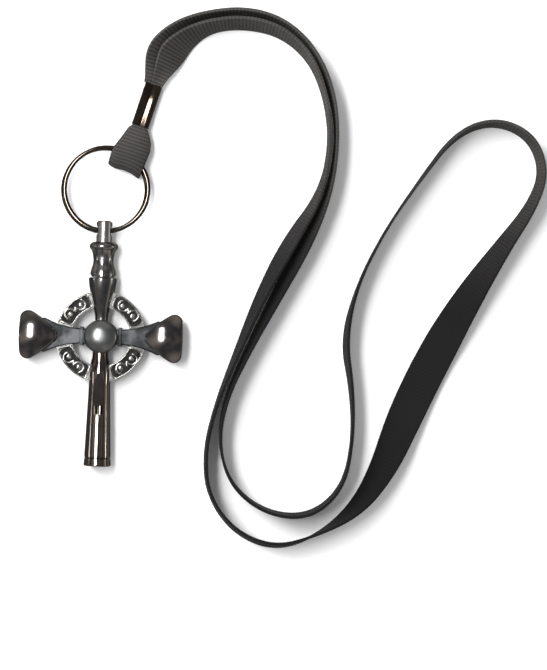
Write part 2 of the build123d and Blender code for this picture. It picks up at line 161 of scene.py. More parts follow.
class Nodes:
    """A node tree whose nodes are added by one method."""

    def __init__(self, tree: bpy.types.NodeTree) -> None:
        """Empties the tree."""
        self.tree = tree
        self.tree.nodes.clear()

    def node(self, kind: str, settings: dict, inputs: dict) -> bpy.types.Node:
        """Adds a node.

        Args:
            kind: The node's type.
            settings: Its properties, set first; "stops" gives a colour ramp's two stops.
            inputs: Numbers, colours, sockets or values for its inputs, by name or index.

        Returns:
            The node.
        """
        node = self.tree.nodes.new(kind)
        for key, setting in settings.items():
            if key == "stops":
                for element, (position, colour) in zip(node.color_ramp.elements, setting):
                    element.position, element.color = position, colour
            else:
                setattr(node, key, setting)
        for key, given in inputs.items():
            self.feed(node.inputs[key], given)
        return node

    def feed(self, socket: bpy.types.NodeSocket, given: object) -> None:
        """Links a value or a socket to an input, or sets the input to a constant.

        Args:
            socket: The input.
            given: A value, a socket or a constant.
        """
        given = given.socket if isinstance(given, Value) else given
        if isinstance(given, bpy.types.NodeSocket):
            self.tree.links.new(given, socket)
        else:
            socket.default_value = given

    def value(self, kind: str, settings: dict, inputs: dict, output: "str | int" = 0) -> Value:
        """Adds a node and returns one of its outputs as a value."""
        return Value(self, self.node(kind, settings, inputs).outputs[output])

    def noise(self, vector: bpy.types.NodeSocket, scale: float, detail: float = 3.0) -> Value:
        """Adds a noise texture."""
        return self.value("ShaderNodeTexNoise", {}, {"Vector": vector, "Scale": scale, "Detail": detail})

    def place(self, kind: str) -> bpy.types.NodeSocket:
        """Adds a texture coordinate of a kind."""
        return self.node("ShaderNodeTexCoord", {}, {}).outputs[kind]


class Shader(Nodes):
    """A material with a Principled surface."""

    def __init__(self, name: str, **constants: "float | tuple") -> None:
        """Starts a material.

        Args:
            name: The material's name.
            constants: Values for the surface's sockets, with underscores for spaces.
        """
        self.material = bpy.data.materials.new(name)
        self.material.use_nodes = True
        super().__init__(self.material.node_tree)
        inputs = {key.replace("_", " "): value for key, value in constants.items()}
        self.surface = self.node("ShaderNodeBsdfPrincipled", {}, inputs)
        self.node("ShaderNodeOutputMaterial", {}, {"Surface": self.surface.outputs["BSDF"]})

    def blend(self, factor: Value, low: object, high: object) -> bpy.types.NodeSocket:
        """Mixes two colours.

        Args:
            factor: 0 gives low and 1 gives high.
            low: The first colour, or its socket.
            high: The second colour, or its socket.

        Returns:
            The mixed colour's socket.
        """
        low, high = ((*colour, 1.0) if isinstance(colour, tuple) else colour for colour in (low, high))
        inputs = {0: factor, 6: low, 7: high}
        return self.node("ShaderNodeMix", {"data_type": "RGBA"}, inputs).outputs[2]

    def bump(self, height: Value, distance: float, strength: float = 1.0) -> None:
        """Bumps the surface.

        Args:
            height: The height, from 0 to 1.
            distance: What a height of 1 is, in metres.
            strength: How much of the bump shows.
        """
        inputs = {"Height": height, "Distance": distance, "Strength": strength}
        bump = self.node("ShaderNodeBump", {}, inputs)
        self.set("Normal", bump.outputs["Normal"])

    def set(self, name: str, given: object) -> None:
        """Feeds one of the surface's sockets."""
        self.feed(self.surface.inputs[name], given)


def shade(colour: Colour, factor: float) -> Colour:
    """A colour made lighter or darker."""
    return tuple(min(1.0, channel * factor) for channel in colour)


@dataclass(frozen=True)
class TurnedMetal:
    """Polished metal turned on a lathe about the whistle's axis."""

    name: str
    tint: Colour
    roughness: float = 0.16
    mottling: float = 0.25
    line_depth: float = 0.002 * MM
    line_phase: float = 16000.0

    def material(self) -> bpy.types.Material:
        """Builds the metal: clouded tint, fine turning lines and faint wear.

        Returns:
            The material.
        """
        shader = Shader(self.name, Metallic=1.0)
        place = shader.place("Object")
        along = shader.value("ShaderNodeSeparateXYZ", {}, {"Vector": place}, "Y")
        cloud = shader.noise(place, 260.0)
        speck = shader.noise(place, 2600.0, 2.0)
        lines = (along * self.line_phase + speck * 5.0).sine() * 0.5 + 0.5
        dark, light = shade(self.tint, 1 - self.mottling), shade(self.tint, 1 + self.mottling)
        shader.set("Base Color", shader.blend(cloud, dark, light))
        shader.set("Roughness", cloud * 0.10 + speck * 0.05 + (self.roughness - 0.075))
        shader.bump(lines * 0.5 + speck * 0.5, self.line_depth)
        return shader.material


@dataclass(frozen=True)
class CastMetal:
    """Cast metal with a skin of fine grain and worn lighter patches."""

    name: str
    tint: Colour
    worn: Colour
    roughness: float = 0.36
    grain: float = 0.03 * MM

    def material(self) -> bpy.types.Material:
        """Builds the metal: patches of wear over a dull grained skin.

        Returns:
            The material.
        """
        shader = Shader(self.name, Metallic=1.0)
        place = shader.place("Object")
        patch = shader.noise(place, 170.0, 4.0).between(0.42, 0.68)
        fleck = shader.noise(place, 1500.0, 3.0)
        wear = patch * 0.8 + fleck.between(0.5, 0.8) * 0.2
        shader.set("Base Color", shader.blend(wear, self.tint, self.worn))
        shader.set("Roughness", (patch * -0.10 + fleck * 0.14) + (self.roughness - 0.02))
        shader.bump(fleck + patch * 0.3, self.grain, 0.5)
        return shader.material


@dataclass(frozen=True)
class AntiqueSilver:
    """Silvered relief, bright on top and blackened in its recesses."""

    name: str
    bright: Colour
    black: Colour
    middle: float
    floor: float
    top: float
    tarnish: float = 0.16 * MM
    grain: float = 0.05 * MM

    def material(self) -> bpy.types.Material:
        """Builds the silver from how far a place stands out from the halo's middle plane.

        Returns:
            The material.
        """
        shader = Shader(self.name, Metallic=1.0)
        place = shader.place("Object")
        height = abs(shader.value("ShaderNodeSeparateXYZ", {}, {"Vector": place}, "Z") - self.middle)
        cloud = shader.noise(place, 600.0, 4.0)
        relief = (height + cloud * self.tarnish).between(self.floor, self.top)
        shader.set("Base Color", shader.blend(relief, self.black, self.bright))
        shader.set("Roughness", relief * -0.24 + cloud * 0.10 + 0.36)
        shader.bump(cloud, self.grain, 0.3)
        return shader.material


@dataclass(frozen=True)
class Webbing:
    """Ribbed woven strap with painted light: its thread turns lighter towards +y, by the ring. Its UV map
    holds metres across and along the strap.
    """

    name: str
    thread: Colour
    lit_thread: Colour
    groove_shade: Colour
    rib_pitch: float = RIB_PITCH
    warp_pitch: float = 0.42 * MM
    lit_span: tuple[float, float] = (0.0, 0.085)
    weave_depth: float = 0.07 * MM

    def material(self) -> bpy.types.Material:
        """Builds the weave: ribs across, fine warp threads along, fuzz, painted shade in the grooves and
        painted light that lightens the thread towards +y.

        Returns:
            The material.
        """
        shader = Shader(self.name, Sheen_Weight=0.02, Sheen_Roughness=0.5, Specular_IOR_Level=0.12)
        place = shader.node("ShaderNodeUVMap", {"uv_map": "weave"}, {}).outputs["UV"]
        parts = shader.node("ShaderNodeSeparateXYZ", {}, {"Vector": place})
        across = Value(shader, parts.outputs["X"])
        along = Value(shader, parts.outputs["Y"])
        solid = shader.place("Object")
        fuzz = shader.noise(solid, 3200.0, 2.0)
        cloud = shader.noise(solid, 90.0, 3.0)
        rib = (along * (math.tau / self.rib_pitch)).sine() * 0.5 + 0.5
        warp = (across * (math.tau / self.warp_pitch)).sine() * 0.5 + 0.5
        slant = along * (math.tau / self.rib_pitch * 3.0) + across * (math.pi / self.warp_pitch)
        fine = slant.sine() * 0.5 + 0.5
        weave = rib * 0.26 + warp * 0.22 + fine * 0.20 + fuzz * 0.32
        up = shader.value("ShaderNodeSeparateXYZ", {}, {"Vector": solid}, "Y")
        # Painted light: the thread is mixed towards a lighter colour as y rises, so the strap's upper part
        # reads as more lit.
        lit_yarn = shader.blend(up.between(*self.lit_span), self.thread, self.lit_thread)
        raised = (weave * 0.8 + cloud * 0.3).between(0.15, 0.95)
        # Painted shade: the weave's low places, the grooves between ribs and threads, take the dark groove
        # colour.
        shader.set("Base Color", shader.blend(raised, self.groove_shade, lit_yarn))
        shader.set("Roughness", fuzz * 0.12 + 0.68)
        shader.bump(weave, self.weave_depth, 0.7)
        return shader.material


@dataclass(frozen=True)
class Dull:
    """A plain moulded or rubber surface with a fine grain."""

    name: str
    tint: Colour
    roughness: float
    grain: float = 0.01 * MM

    def material(self) -> bpy.types.Material:
        """Builds the surface: a little cloud in the tint and a fine grain.

        Returns:
            The material.
        """
        shader = Shader(self.name)
        place = shader.place("Object")
        cloud = shader.noise(place, 500.0)
        shader.set("Base Color", shader.blend(cloud, shade(self.tint, 0.7), shade(self.tint, 1.3)))
        shader.set("Roughness", cloud * 0.1 + (self.roughness - 0.05))
        shader.bump(cloud, self.grain)
        return shader.material


# ---------------------------------------------------------------- modelling helpers


def deselect() -> None:
    """Deselects every object."""
    bpy.ops.object.select_all(action="DESELECT")


def activate(piece: bpy.types.Object) -> None:
    """Makes a piece the only one selected, and active."""
    deselect()
    piece.select_set(True)
    bpy.context.view_layer.objects.active = piece


def mesh_piece(name: str, points: list, faces: list) -> bpy.types.Object:
    """Makes an object from points and faces and links it to the scene.

    Args:
        name: The object's name.
        points: The vertices.
        faces: The faces, as lists of vertex numbers.

    Returns:
        The object, at the origin.
    """
    mesh = bpy.data.meshes.new(name)
    mesh.from_pydata([tuple(point) for point in points], [], faces)
    piece = bpy.data.objects.new(name, mesh)
    bpy.context.collection.objects.link(piece)
    return piece


def dress(piece: bpy.types.Object, material: bpy.types.Material, body: str) -> None:
    """Gives a new piece its material, and rides it on a body.

    Args:
        piece: The piece.
        material: Its material.
        body: The body that it moves with.
    """
    piece.data.materials.clear()
    piece.data.materials.append(material)
    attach(piece, body)
    log.info("%s rides on %s", piece.name, body)


def smooth(piece: bpy.types.Object, degrees: float = 60.0) -> None:
    """Shades a piece smooth, but for edges sharper than an angle."""
    activate(piece)
    bpy.ops.object.shade_smooth_by_angle(angle=math.radians(degrees))


def outwards(piece: bpy.types.Object) -> None:
    """Merges doubled points and turns every face outwards."""
    activate(piece)
    bpy.ops.object.mode_set(mode="EDIT")
    bpy.ops.mesh.select_all(action="SELECT")
    bpy.ops.mesh.remove_doubles(threshold=1e-6)
    bpy.ops.mesh.normals_make_consistent(inside=False)
    bpy.ops.object.mode_set(mode="OBJECT")


def ease(part: float) -> float:
    """A smooth step from 0 to 1."""
    part = min(max(part, 0.0), 1.0)
    return part * part * (3 - 2 * part)


def look_up(value: float, table: list[tuple[float, float]]) -> float:
    """Reads a table, straight between its rows and level beyond them.

    Args:
        value: Where to read it.
        table: Rising places with what stands at each.

    Returns:
        What stands at the value.
    """
    if value <= table[0][0]:
        return table[0][1]
    for (low, start), (high, end) in zip(table, table[1:]):
        if value <= high:
            return start + (end - start) * (value - low) / (high - low)
    return table[-1][1]


def grid_faces(rows: int, columns: int) -> list[list[int]]:
    """Faces for a tube of points, row by row, with both ends capped.

    Args:
        rows: How many rows there are.
        columns: How many points go round each.

    Returns:
        The quads and the two caps.
    """
    faces = []
    for row in range(rows - 1):
        for column in range(columns):
            after = (column + 1) % columns
            start = row * columns
            faces.append([start + column, start + after, start + columns + after, start + columns + column])
    faces.append(list(range(columns))[::-1])
    faces.append(list(range((rows - 1) * columns, rows * columns)))
    return faces


def weave_uvs(piece: bpy.types.Object, weave: list[tuple[float, float]]) -> None:
    """Adds the UV map of the weave.

    Args:
        piece: The piece.
        weave: Metres across and along the weave, for each point.
    """
    layer = piece.data.uv_layers.new(name="weave")
    for loop in piece.data.loops:
        layer.data[loop.index].uv = weave[loop.vertex_index]


def nurbs_points(name: str, controls: list[Point], resolution: int) -> list[Vector]:
    """The points along an open NURBS spline.

    Args:
        name: A name for the curve while it is read.
        controls: The control points.
        resolution: How many points to make between control points.

    Returns:
        The points, from the first end to the last.
    """
    curve = bpy.data.curves.new(name, "CURVE")
    curve.dimensions = "3D"
    spline = curve.splines.new("NURBS")
    spline.points.add(len(controls) - 1)
    for point, control in zip(spline.points, controls):
        point.co = (*control, 1.0)
    spline.order_u = 3
    spline.use_endpoint_u = True
    spline.resolution_u = resolution
    holder = bpy.data.objects.new(name, curve)
    bpy.context.collection.objects.link(holder)
    mesh = bpy.data.meshes.new_from_object(holder)
    points = [vertex.co.copy() for vertex in mesh.vertices]
    bpy.data.meshes.remove(mesh)
    bpy.data.objects.remove(holder)
    bpy.data.curves.remove(curve)
    return points


# ---------------------------------------------------------------- the neck strap


@dataclass
class Strap:
    """The neck strap: one ribbed band from one side of the crimp round to the other.

    Each row of the route is x, y and the lean in degrees: 0 lies flat, 90 stands on edge.
    """

    hub_y: float
    width: float = STRAP_WIDTH
    thickness: float = STRAP_THICKNESS
    clearance: float = 0.3 * MM
    mouth_width: float = 4.2 * MM
    mouth_thickness: float = 1.3 * MM
    mouth_heights: tuple[float, float] = (3.1 * MM, 1.7 * MM)
    gather_length: float = 15.0 * MM
    curl: float = 0.22
    steps_per_rib: int = 4
    resolution: int = 48
    route: list[Point] = field(default_factory=lambda: [
        (0.0160, 0.0856, 14), (0.0192, 0.0939, 36), (0.0246, 0.1011, 58), (0.0336, 0.1064, 76),
        (0.0460, 0.1079, 75), (0.0584, 0.1050, 78), (0.0683, 0.0962, 83), (0.0737, 0.0831, 86),
        (0.0757, 0.0680, 88), (0.0732, 0.0509, 82), (0.0626, 0.0334, 66), (0.0537, 0.0155, 73),
        (0.0457, -0.0053, 82), (0.0394, -0.0224, 87), (0.0362, -0.0384, 86), (0.0380, -0.0530, 86),
        (0.0472, -0.0648, 83), (0.0614, -0.0700, 81), (0.0760, -0.0646, 88), (0.0888, -0.0552, 112),
        (0.0972, -0.0414, 133), (0.1034, -0.0246, 162), (0.1122, -0.0050, 172), (0.1228, 0.0153, 140),
        (0.1346, 0.0342, 114), (0.1442, 0.0482, 103), (0.1483, 0.0604, 98), (0.1434, 0.0724, 97),
        (0.1308, 0.0774, 96), (0.1176, 0.0722, 95), (0.1062, 0.0563, 92), (0.0944, 0.0380, 90),
        (0.0857, 0.0190, 90), (0.0822, 0.0010, 82), (0.0854, -0.0150, 86), (0.0864, -0.0318, 90),
        (0.0836, -0.0486, 88), (0.0728, -0.0588, 86), (0.0580, -0.0582, 88), (0.0456, -0.0494, 90),
        (0.0409, -0.0354, 92), (0.0426, -0.0202, 95), (0.0497, -0.0035, 99), (0.0592, 0.0159, 107),
        (0.0682, 0.0341, 114), (0.0759, 0.0515, 98), (0.0781, 0.0690, 92), (0.0760, 0.0842, 96),
        (0.0695, 0.0983, 98), (0.0588, 0.1079, 100), (0.0460, 0.1113, 100), (0.0328, 0.1097, 100),
        (0.0223, 0.1039, 122), (0.0156, 0.0952, 144), (0.0138, 0.0863, 166),
    ])

    def rest_height(self, lean: float) -> float:
        """The height of the band's middle when its lower edge rests on the table.

        Args:
            lean: The band's lean in degrees.

        Returns:
            The height in metres.
        """
        upright = abs(math.sin(math.radians(lean)))
        flat = abs(math.cos(math.radians(lean)))
        return self.clearance + self.width / 2 * upright + self.thickness / 2 * flat

    def centreline(self) -> list[Vector]:
        """The middle of the band.

        Returns:
            The points of the route's spline.
        """
        controls = [(x, y + self.hub_y, self.rest_height(lean)) for x, y, lean in self.route]
        controls[0] = (*controls[0][:2], self.mouth_heights[0])
        controls[-1] = (*controls[-1][:2], self.mouth_heights[1])
        return nurbs_points("strap_route", controls, self.resolution)

    def leans(self) -> list[float]:
        """The lean at each point of the centreline, from a spline on the same knots."""
        controls = [(lean, 0, 0) for _, _, lean in self.route]
        return [point.x for point in nurbs_points("strap_lean", controls, self.resolution)]

    def sections(self) -> list[tuple[Vector, Vector, float, float]]:
        """Evenly spaced places along the band.

        Returns:
            For each place its middle, its direction, its lean and its distance along the band.
        """
        line = self.centreline()
        leans = self.leans()
        step = RIB_PITCH / self.steps_per_rib
        places = []
        travelled = 0.0
        wanted = 0.0
        for here, there, lean, next_lean in zip(line, line[1:], leans, leans[1:]):
            run = (there - here).length
            while wanted <= travelled + run and run > 0:
                part = (wanted - travelled) / run
                places.append((here.lerp(there, part), (there - here).normalized(),
                               lean + (next_lean - lean) * part, wanted))
                wanted += step
            travelled += run
        return places

    def outline(self, gathered: float) -> list[tuple[float, float, float]]:
        """The band's section.

        Args:
            gathered: 0 where the band is flat and 1 where the crimp bunches it.

        Returns:
            For each corner its place across, its place through, and how ribs lift it, from -1 to 1.
        """
        half = (self.width + (self.mouth_width - self.width) * gathered) / 2
        thick = (self.thickness + (self.mouth_thickness - self.thickness) * gathered) / 2
        curl = half * self.curl * gathered
        places = (-1.0, -0.96, -0.5, 0.0, 0.5, 0.96, 1.0)
        upper = [(half * place, thick + curl * place * place, 1.0) for place in places[1:-1]]
        lower = [(half * place, -thick + curl * place * place, -1.0) for place in reversed(places[1:-1])]
        return [(-half, curl, 0.0), *upper, (half, curl, 0.0), *lower]

    def build(self, material: bpy.types.Material, fittings: list[bpy.types.Object]) -> bpy.types.Object:
        """Args:
            material: The webbing.
            fittings: The pieces on its ends; not used.

        Returns:
            The strap.
        """
        places = self.sections()
        length = places[-1][3]
        points, weave = [], []
        for middle, ahead, lean, travelled in places:
            outline = self.outline(1 - ease(min(travelled, length - travelled) / self.gather_length))
            count = len(outline)
            left = Vector((-ahead.y, ahead.x, 0.0)).normalized()
            up = ahead.cross(left)
            angle = math.radians(lean)
            across = left * math.cos(angle) + up * math.sin(angle)
            through = ahead.cross(across)
            rib = RIB_DEPTH * math.sin(math.tau * travelled / RIB_PITCH)
            for place, depth, lift in outline:
                points.append(middle + across * place + through * (depth + lift * rib))
                weave.append((place, travelled))
        strap = mesh_piece("woven_strap", points, grid_faces(len(places), count))
        weave_uvs(strap, weave)
        outwards(strap)
        smooth(strap)
        dress(strap, material, "lanyard")
        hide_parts("neck_strap")
        log.info("strap is %.4f m long", length)
        return strap


@dataclass
class Bight:
    """The loop of webbing that folds round the split ring and runs into the crimp.

    Its own frame lies on the ring's wire: u runs to the crimp, v across to the left, w up.
    """

    origin: Vector
    heading: float = math.radians(73.5)
    thickness: float = 0.9 * MM
    thin_edge: float = 0.55
    flat_edge: float = 0.30
    fold_end: float = -5.6 * MM
    fold_reach: float = 7.0 * MM
    columns: int = 14
    profile: list[tuple[float, float]] = field(default_factory=lambda: [
        (0.0248, 0.0006), (0.0170, 0.0006), (0.0118, 0.0006), (0.0098, 0.0009), (0.0075, 0.0016),
        (0.0040, 0.0023), (0.0005, 0.0026), (-0.0028, 0.0024), (-0.0052, 0.0016), (-0.0056, 0.0),
        (-0.0052, -0.0016), (-0.0028, -0.0020), (0.0005, -0.0020), (0.0040, -0.0018), (0.0075, -0.0013),
        (0.0098, -0.0009), (0.0118, -0.0006), (0.0170, -0.0006), (0.0248, -0.0006),
    ])
    left_edge: list[tuple[float, float]] = field(default_factory=lambda: [
        (-0.0045, 0.0063), (-0.0016, 0.0064), (0.0013, 0.0061), (0.0061, 0.0045), (0.0090, 0.0036),
        (0.0106, 0.0024),
    ])
    right_edge: list[tuple[float, float]] = field(default_factory=lambda: [
        (-0.0057, -0.0052), (-0.0013, -0.0056), (0.0035, -0.0059), (0.0060, -0.0054), (0.0080, -0.0043),
        (0.0106, -0.0024),
    ])
    fold_line: list[tuple[float, float]] = field(default_factory=lambda: [
        (0.0, -0.0008), (0.27, 0.0003), (0.5, 0.0006), (0.78, 0.0002), (1.0, 0.0008),
    ])

    def place(self, u: float, v: float, w: float) -> Vector:
        """Turns the loop's own coordinates into the scene's.

        Args:
            u: Metres towards the crimp.
            v: Metres to the left.
            w: Metres up.

        Returns:
            The place in the scene.
        """
        up = Vector((0.0, math.sin(RING_TILT), math.cos(RING_TILT)))
        across = Vector((-math.sin(self.heading), math.cos(self.heading), 0.0))
        across = (across - up * across.dot(up)).normalized()
        ahead = across.cross(up)
        return self.origin + ahead * u + across * v + up * w

    def build(self, material: bpy.types.Material) -> bpy.types.Object:
        """Makes the loop.

        Args:
            material: The webbing.

        Returns:
            The loop.
        """
        line = nurbs_points("bight_profile", [(u, 0.0, w) for u, w in self.profile], 10)
        points, weave = [], []
        travelled = 0.0
        for number, here in enumerate(line):
            ahead = (line[min(number + 1, len(line) - 1)] - line[max(number - 1, 0)]).normalized()
            travelled += (here - line[max(number - 1, 0)]).length
            outward = Vector((ahead.z, 0.0, -ahead.x)) * -1.0
            left, right = look_up(here.x, self.left_edge), look_up(here.x, self.right_edge)
            near_fold = 1 - ease((here.x - self.fold_end) / self.fold_reach)
            rib = RIB_DEPTH * math.sin(math.tau * travelled / RIB_PITCH)
            for side in (1, -1):
                for step in range(self.columns) if side > 0 else reversed(range(self.columns)):
                    share = step / (self.columns - 1)
                    bulge = 1 - self.flat_edge * abs(2 * share - 1) ** 2.5
                    rim = self.thin_edge if step in (0, self.columns - 1) else 1.0
                    lift = side * (self.thickness / 2 * rim + rib)
                    u = here.x + look_up(share, self.fold_line) * near_fold + outward.x * lift
                    v = right + (left - right) * share
                    points.append(self.place(u, v, here.z * bulge + outward.z * lift))
                    weave.append((v, travelled))
        bight = mesh_piece("woven_loop", points, grid_faces(len(line), 2 * self.columns))
        weave_uvs(bight, weave)
        outwards(bight)
        smooth(bight)
        dress(bight, material, "lanyard")
        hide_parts("strap_bight")
        return bight


@dataclass
class Crimp:
    """The rolled metal sleeve that grips the strap's ends; its right leaf laps over a crease."""

    loop: Bight
    start: float = 10.5 * MM
    length: float = 15.0 * MM
    width: float = 5.9 * MM
    mouth_depth: float = 1.0 * MM
    edge: float = 0.15 * MM
    crease_angle: float = 26.0
    section: list[tuple[float, float]] = field(default_factory=lambda: [
        (0.000, 0.0000), (0.004, 0.0011), (0.030, 0.0019), (0.085, 0.00222), (0.300, 0.00200),
        (0.450, 0.00180), (0.485, 0.00172), (0.500, 0.00170), (0.530, 0.001724), (0.700, 0.00186),
        (0.725, 0.00188), (0.745, 0.00187), (0.850, 0.00168), (0.950, 0.00122), (0.992, 0.0006),
        (1.000, 0.0000), (0.990, -0.0012), (0.940, -0.0019), (0.800, -0.0021), (0.200, -0.0021),
        (0.060, -0.0019), (0.010, -0.0012),
    ])

    def build(self, material: bpy.types.Material) -> bpy.types.Object:
        """Makes the sleeve.

        Args:
            material: The metal.

        Returns:
            The sleeve.
        """
        end = self.start + self.length
        mouth = [(self.mouth_depth, 0.80), (0.0, 0.84), (0.0, 0.96), (self.edge, 1.0)]
        rows = [(self.start + depth, size) for depth, size in mouth]
        rows += [(end - depth, size) for depth, size in reversed(mouth)]
        points = [self.loop.place(along, (0.5 - share) * self.width * size, height * size)
                  for along, size in rows for share, height in self.section]
        sleeve = mesh_piece("rolled_crimp", points, grid_faces(len(rows), len(self.section)))
        outwards(sleeve)
        smooth(sleeve, self.crease_angle)
        dress(sleeve, material, "lanyard")
        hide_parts("crimp")
        return sleeve


@dataclass
class RingCoils:
    """The split ring: two turns of flattened wire, a little out of line, joined by a jog."""

    centre: Vector
    wire: tuple[float, float] = (0.78 * MM, 0.46 * MM)
    pitch: float = 1.0 * MM
    stagger: float = 0.28 * MM
    stagger_angle: float = math.radians(20.0)
    jog_start: float = math.radians(45.0)
    jog: float = math.radians(22.0)
    end_sizes: tuple[float, float] = (0.88, 0.94)
    steps: int = 220
    sides: int = 16

    def build(self, material: bpy.types.Material) -> bpy.types.Object:
        """Makes the two turns.

        Args:
            material: The metal.

        Returns:
            The ring.
        """
        sideways = Vector((1.0, 0.0, 0.0))
        upwards = Vector((0.0, math.cos(RING_TILT), -math.sin(RING_TILT)))
        axis = sideways.cross(upwards)
        out_of_line = sideways * math.cos(self.stagger_angle) + upwards * math.sin(self.stagger_angle)
        above = out_of_line * self.stagger + axis * self.pitch / 2
        turned = 2 * math.tau - self.jog
        points = []
        for step in range(self.steps + 1):
            travelled = turned * step / self.steps
            share = ease((travelled - (math.tau - self.jog)) / self.jog)
            angle = self.jog_start + self.jog + travelled
            outward = sideways * math.cos(angle) + upwards * math.sin(angle)
            middle = self.centre + outward * RING_RADIUS + above * (1 - 2 * share)
            end = min(step, self.steps - step)
            size = self.end_sizes[end] if end < len(self.end_sizes) else 1.0
            for side in range(self.sides):
                turn = math.tau * side / self.sides
                rim = outward * self.wire[0] * math.cos(turn) + axis * self.wire[1] * math.sin(turn)
                points.append(middle + rim * size)
        ring = mesh_piece("ring_coils", points, grid_faces(self.steps + 1, self.sides))
        outwards(ring)
        smooth(ring)
        dress(ring, material, "ring")
        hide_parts("split_ring")
        return ring


# ---------------------------------------------------------------- the halo's scrolls


@dataclass
class Scrolls:
    """The S-shaped ridges and the bead round each quarter of the halo, on both faces."""

    hub: Vector
    reach: float = 12.7 * MM
    boss_angle: float = math.radians(11.0)
    curl_radius: float = 1.85 * MM
    ridge_radius: float = 0.40 * MM
    ridge_height: float = 1.30 * MM
    panel: tuple[float, float] = (10.40 * MM, 15.00 * MM)
    panel_angle: float = math.radians(26.0)
    bead_radius: float = 0.20 * MM
    bead_height: float = 1.58 * MM
    curl_turns: range = range(-110, -381, -9)
    curl_tightness: float = 0.86
    curl_opening: float = 200.0
    taper_rows: int = 5
    border_steps: int = 24
    sides: int = 10

    def centreline(self, chirality: int) -> list[tuple[float, float]]:
        """The ridge's line beside two bosses, from the end round one to the end round the other.

        Args:
            chirality: 1 or -1, for the two hands of the S.

        Returns:
            Places along the quarter's middle circle and outwards from it.
        """
        spread = self.reach * math.sin(self.boss_angle)
        half = []
        for degrees in self.curl_turns:
            turn = math.radians(degrees)
            opened = ease((self.curl_turns.start - degrees) / self.curl_opening)
            radius = self.curl_radius * (self.curl_tightness + (1 - self.curl_tightness) * opened)
            half.append((radius * math.cos(turn) - spread, radius * math.sin(turn)))
        other = [(-along, -out) for along, out in reversed(half)]
        return [(along * chirality, out) for along, out in half + other]

    def border(self) -> list[tuple[float, float]]:
        """The bead's line round a quarter's sunk panel, from the middle of one end back to it.

        Returns:
            Places along the quarter's middle circle and outwards from it.
        """
        inner, outer = self.panel
        shares = [step / self.border_steps for step in range(self.border_steps + 1)]
        turns = [self.panel_angle * (2 * share - 1) for share in shares]
        middle = (inner + outer) / 2
        polar = [(middle, -self.panel_angle)]
        polar += [(outer, turn) for turn in turns]
        polar += [(middle, self.panel_angle)]
        polar += [(inner, turn) for turn in reversed(turns)]
        polar += [(middle, -self.panel_angle)]
        return [(radius * math.sin(turn), radius * math.cos(turn) - self.reach) for radius, turn in polar]

    def ridge(self, track: list[Vector], up: Vector, radius: float, tapers: bool) -> list[Vector]:
        """Makes a round ridge.

        Args:
            track: The middle of the ridge.
            up: The face's outward direction.
            radius: The ridge's radius.
            tapers: Whether its ends taper.

        Returns:
            Its points, row by row.
        """
        points = []
        last = len(track) - 1
        for number, here in enumerate(track):
            ahead = (track[min(number + 1, last)] - track[max(number - 1, 0)]).normalized()
            across = ahead.cross(up)
            near_end = min(number, last - number) / self.taper_rows
            size = radius * (ease(near_end + 0.25) if tapers else 1.0)
            for side in range(self.sides):
                turn = math.tau * side / self.sides
                points.append(here + (across * math.cos(turn) + up * math.sin(turn)) * size)
        return points

    def quarter(self, name: str, middle: float, chirality: int,
                material: bpy.types.Material) -> bpy.types.Object:
        """Makes a quarter's ridges.

        Args:
            name: The piece's name.
            middle: The direction of the quarter's middle from the hub, in radians.
            chirality: The hand of the S.
            material: The silver.

        Returns:
            The ridges of both faces as one piece.
        """
        radial = Vector((math.cos(middle), math.sin(middle), 0.0))
        tangent = Vector((-radial.y, radial.x, 0.0))
        ridges = ((self.centreline(chirality), self.ridge_height, self.ridge_radius, True),
                  (self.border(), self.bead_height, self.bead_radius, False))
        points, faces = [], []
        for face in Face:
            up = Vector((0.0, 0.0, float(face.value)))
            for line, height, radius, tapers in ridges:
                track = [self.hub + radial * (self.reach + out) + tangent * along + up * height
                         for along, out in line]
                start = len(points)
                points += self.ridge(track, up, radius, tapers)
                tube = grid_faces(len(track), self.sides)
                faces += [[start + corner for corner in face_corners] for face_corners in tube]
        scroll = mesh_piece(name, points, faces)
        outwards(scroll)
        smooth(scroll)
        dress(scroll, material, "whistle")
        return scroll

    def build(self, material: bpy.types.Material) -> None:
        """Makes the ridges of all four quarters.

        Args:
            material: The silver.
        """
        for name, degrees, chirality in (("upper_left", 135, -1), ("upper_right", 45, 1),
                                         ("lower_left", 225, 1), ("lower_right", 315, -1)):
            self.quarter(f"scroll_{name}", math.radians(degrees), chirality, material)


# ---------------------------------------------------------------- the studio


